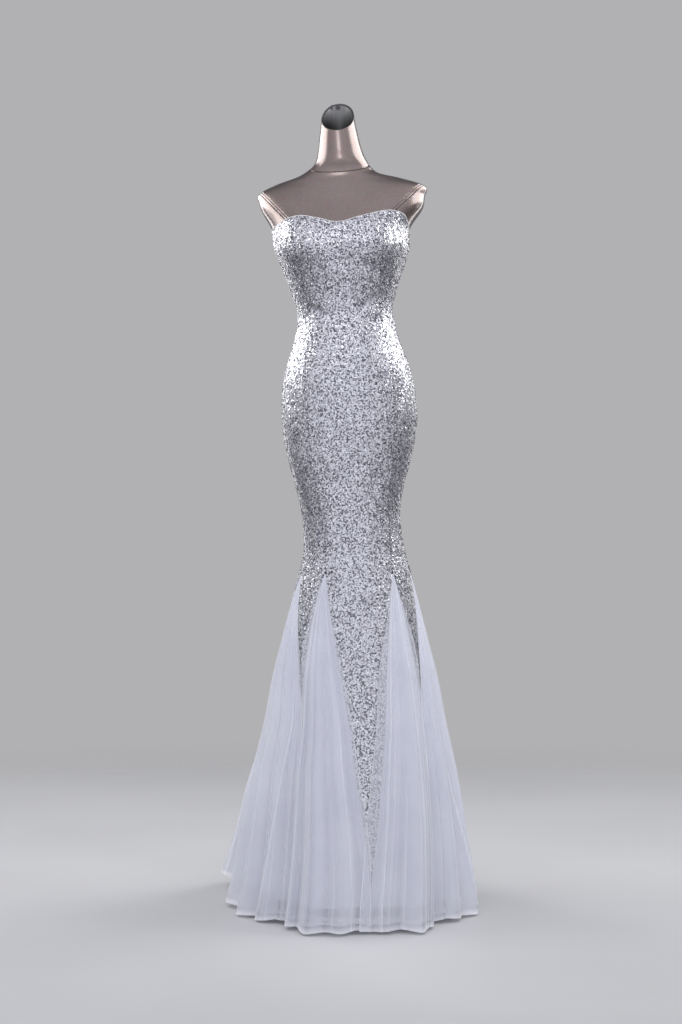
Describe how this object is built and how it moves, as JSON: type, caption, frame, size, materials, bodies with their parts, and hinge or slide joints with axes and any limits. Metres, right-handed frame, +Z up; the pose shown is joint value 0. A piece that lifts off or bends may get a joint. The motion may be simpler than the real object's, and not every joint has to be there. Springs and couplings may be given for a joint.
{
  "type": "evening gown on dress form",
  "caption": "Strapless floor-length mermaid gown of silver sequin cloth with pale tulle godets, worn by a limbless champagne-metallic dress form on a round stand.",
  "frame": {"origin": "middle of the underside of the stand's round base, where it rests on the floor", "axes": "+Z up, the gown's front faces -Y, the wearer's left side is +X"},
  "size_m": [0.5838, 0.6736, 1.778],
  "materials": {
    "sequin": "silver sequins on stretch mesh",
    "tulle": "layered soft tulle, pale silver white",
    "form": "champagne metallic paint, fine sparkle, satin",
    "steel": "brushed",
    "zip": "satin silver"
  },
  "bodies": {
    "gown_on_form": {"panel_front": "sequin", "panel_side_front_r": "sequin", "panel_side_front_l": "sequin", "panel_side_back_r": "sequin", "panel_side_back_l": "sequin", "panel_back_r": "sequin", "panel_back_l": "sequin", "godet_front_r": "tulle", "godet_front_l": "tulle", "godet_side_r": "tulle", "godet_side_l": "tulle", "godet_back_r": "tulle", "godet_back_l": "tulle", "godet_centre_back": "tulle", "form_torso": "form", "form_arm_cap_r": "form", "form_arm_cap_l": "form", "form_neck": "form", "neck_socket": "steel", "stand_base": "steel", "stand_pole": "steel", "stand_collar": "steel", "zip_slider": "zip"},
    "zip_pull": {"zip_pull_tab": "zip"}
  },
  "joints": [
    {"name": "pull_tab_hinge", "type": "hinge", "parent": "gown_on_form", "child": "zip_pull", "pos_m": [-0.01022, 0.09568, 1.38396], "axis": [1, 0, 0], "range_deg": [0, 150]}
  ]
}
